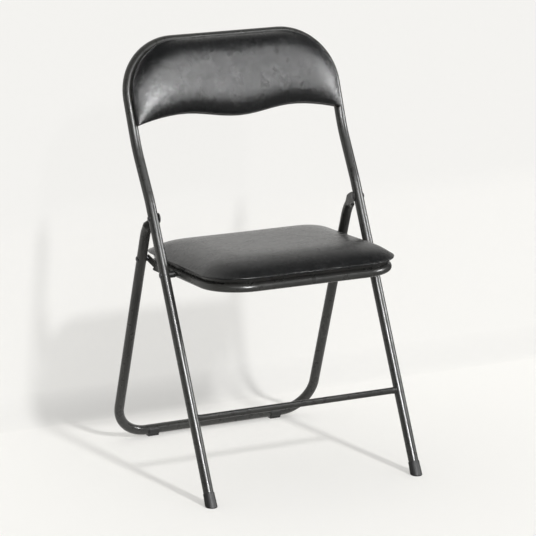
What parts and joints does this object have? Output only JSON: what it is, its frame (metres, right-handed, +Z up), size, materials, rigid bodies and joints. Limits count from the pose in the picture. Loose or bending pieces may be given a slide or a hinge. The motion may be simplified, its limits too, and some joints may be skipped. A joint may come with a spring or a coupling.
{
  "type": "padded folding chair",
  "caption": "Folding chair of dark steel tube with a padded black vinyl seat and back, a rear frame and seat that fold up together, and black plastic feet.",
  "frame": {"origin": "on the floor, at the middle of the box around the open chair", "axes": "+X to the right of a person facing the chair, the front faces -Y, +Z up"},
  "size_m": [0.452, 0.4682, 0.8],
  "materials": {
    "painted_tube": "satin charcoal enamel on steel tube",
    "painted_sheet": "satin dark enamel on pressed steel",
    "black_vinyl": "semi-gloss black vinyl with a fine grain",
    "plywood": "bare plywood",
    "black_rubber": "matt black rubber",
    "black_plastic": "matt black moulded plastic",
    "dark_steel": "darkened steel rivets and screws"
  },
  "bodies": {
    "front_body": {"front_frame": "painted_tube", "front_stretcher": "painted_tube", "left_foot_cap": "black_rubber", "right_foot_cap": "black_rubber", "back_board": "plywood", "back_pad": "black_vinyl", "back_lining": "painted_sheet", "back_screws": "dark_steel", "top_rivets": "dark_steel", "seat_rivets": "dark_steel", "seat_bushes": "black_plastic"},
    "rear_body": {"rear_frame": "painted_tube", "left_floor_glide": "black_plastic", "right_floor_glide": "black_plastic", "rear_link_rivets": "dark_steel"},
    "seat_body": {"seat_ring": "painted_tube", "seat_pan": "painted_sheet", "seat_board": "plywood", "seat_cushion": "black_vinyl", "seat_screws": "dark_steel", "left_link_bracket": "painted_sheet", "right_link_bracket": "painted_sheet", "front_link_rivets": "dark_steel"},
    "left_link_body": {"left_link": "painted_sheet", "left_link_rivet": "dark_steel"},
    "right_link_body": {"right_link": "painted_sheet", "right_link_rivet": "dark_steel"}
  },
  "joints": [
    {"name": "seat_fold", "type": "hinge", "parent": "front_body", "child": "seat_body", "pos_m": [0, -0.02622, 0.39], "axis": [-1, 0, 0], "range_deg": [0, 114.4]},
    {"name": "rear_fold", "type": "hinge", "parent": "front_body", "child": "rear_body", "pos_m": [0, 0.02256, 0.487], "axis": [-1, 0, 0], "range_deg": [0, 46.51]},
    {"name": "left_link_turn", "type": "hinge", "parent": "seat_body", "child": "left_link_body", "pos_m": [0, 0.02442, 0.38396], "axis": [1, 0, 0], "range_deg": [0, 135.43]},
    {"name": "right_link_turn", "type": "hinge", "parent": "seat_body", "child": "right_link_body", "pos_m": [0, 0.02442, 0.38396], "axis": [1, 0, 0], "range_deg": [0, 135.43]}
  ],
  "couplings": [
    {"joint": "rear_fold", "follows": "seat_fold", "ratio": 0.40646},
    {"joint": "left_link_turn", "follows": "seat_fold", "ratio": 1.1836},
    {"joint": "right_link_turn", "follows": "seat_fold", "ratio": 1.1836}
  ]
}
